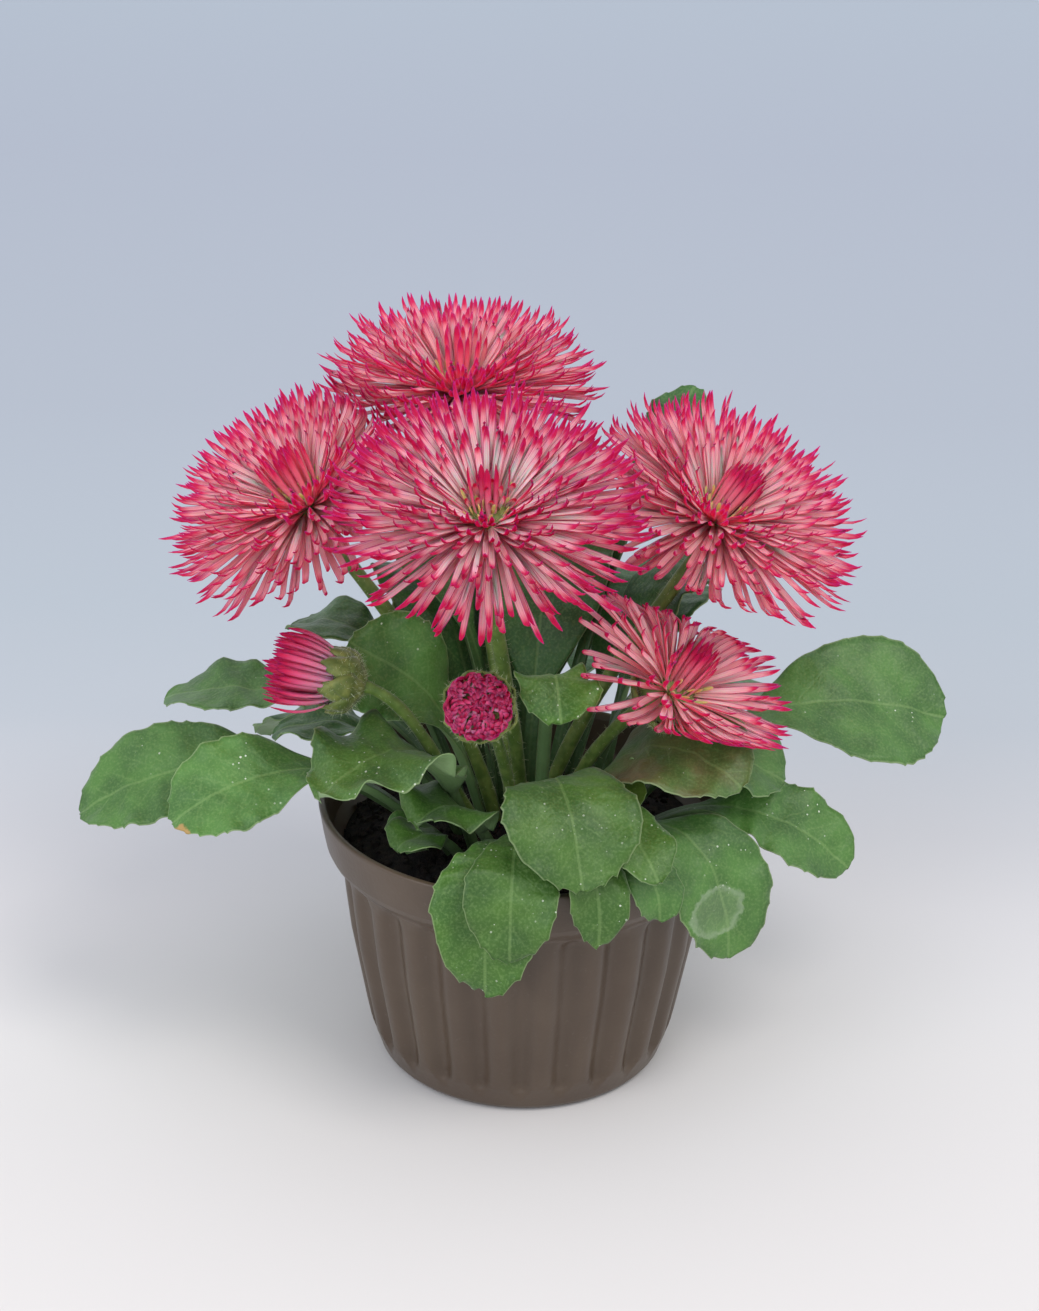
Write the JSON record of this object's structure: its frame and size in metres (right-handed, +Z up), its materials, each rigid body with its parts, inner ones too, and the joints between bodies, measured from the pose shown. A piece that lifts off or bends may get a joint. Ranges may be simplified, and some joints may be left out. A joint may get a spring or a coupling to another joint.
{
  "type": "potted english daisy",
  "caption": "Double english daisy with quilled pink flower heads and spoon-shaped leaves, growing in a small ribbed plastic pot that stands on its flat base.",
  "frame": {"origin": "centre of the pot's flat underside", "axes": "+Z up the pot's axis, -Y towards the front as pictured, +X to the viewer's right"},
  "size_m": [0.1916, 0.1337, 0.1608],
  "materials": {
    "pot_plastic": "satin moulded taupe-brown plastic",
    "soil": "moist dark potting compost",
    "leaf_front": "fresh mid-green leaf with fine hairs",
    "leaf_side": "mid-green leaf with paler veins",
    "leaf_back": "shaded dark green leaf",
    "stalk": "pale yellow-green hairy stalk and bracts",
    "bloom_florets": "pink quilled florets with crimson tips",
    "bud_florets": "crimson closed florets"
  },
  "bodies": {
    "root": {"pot": "pot_plastic", "soil": "soil", "leaf_left_long": "leaf_side", "leaf_left_front": "leaf_side", "leaf_left_small": "leaf_side", "leaf_front_lobe": "leaf_front", "leaf_front_fold": "leaf_front", "leaf_front_round": "leaf_front", "leaf_front_bright": "leaf_front", "leaf_right_lobe": "leaf_side", "leaf_right_front": "leaf_side", "leaf_right_low": "leaf_side", "leaf_right_oval": "leaf_side", "leaf_back_right": "leaf_back", "leaf_back_middle": "leaf_back", "leaf_back_left": "leaf_back", "leaf_back_low": "leaf_back", "leaf_left_upper": "leaf_side", "leaf_left_dark": "leaf_back", "leaf_wavy_left": "leaf_front", "leaf_wavy_front": "leaf_front", "leaf_centre_big": "leaf_front", "leaf_centre_fold": "leaf_front", "leaf_right_wavy": "leaf_front", "leaf_right_round": "leaf_side", "leaf_back_inner": "leaf_back", "leaf_back_high": "leaf_back", "leaf_left_high": "leaf_back", "leaf_upright_left": "leaf_side", "leaf_upright_back": "leaf_back", "leaf_right_red": "leaf_front", "leaf_small_bent": "leaf_front", "leaf_pale_edge": "leaf_front", "leaf_inner_left": "leaf_back", "leaf_inner_right": "leaf_back", "leaf_inner_back": "leaf_back", "leaf_tall_back": "leaf_back", "leaf_dark_right": "leaf_back", "bloom_back": "bloom_florets", "bloom_back_stalk": "stalk", "bloom_left": "bloom_florets", "bloom_left_stalk": "stalk", "bloom_front": "bloom_florets", "bloom_front_stalk": "stalk", "bloom_right": "bloom_florets", "bloom_right_stalk": "stalk", "bloom_low": "bloom_florets", "bloom_low_stalk": "stalk", "bud_left": "bud_florets", "bud_left_stalk": "stalk", "bud_centre": "bud_florets", "bud_centre_stalk": "stalk"}
  },
  "joints": []
}
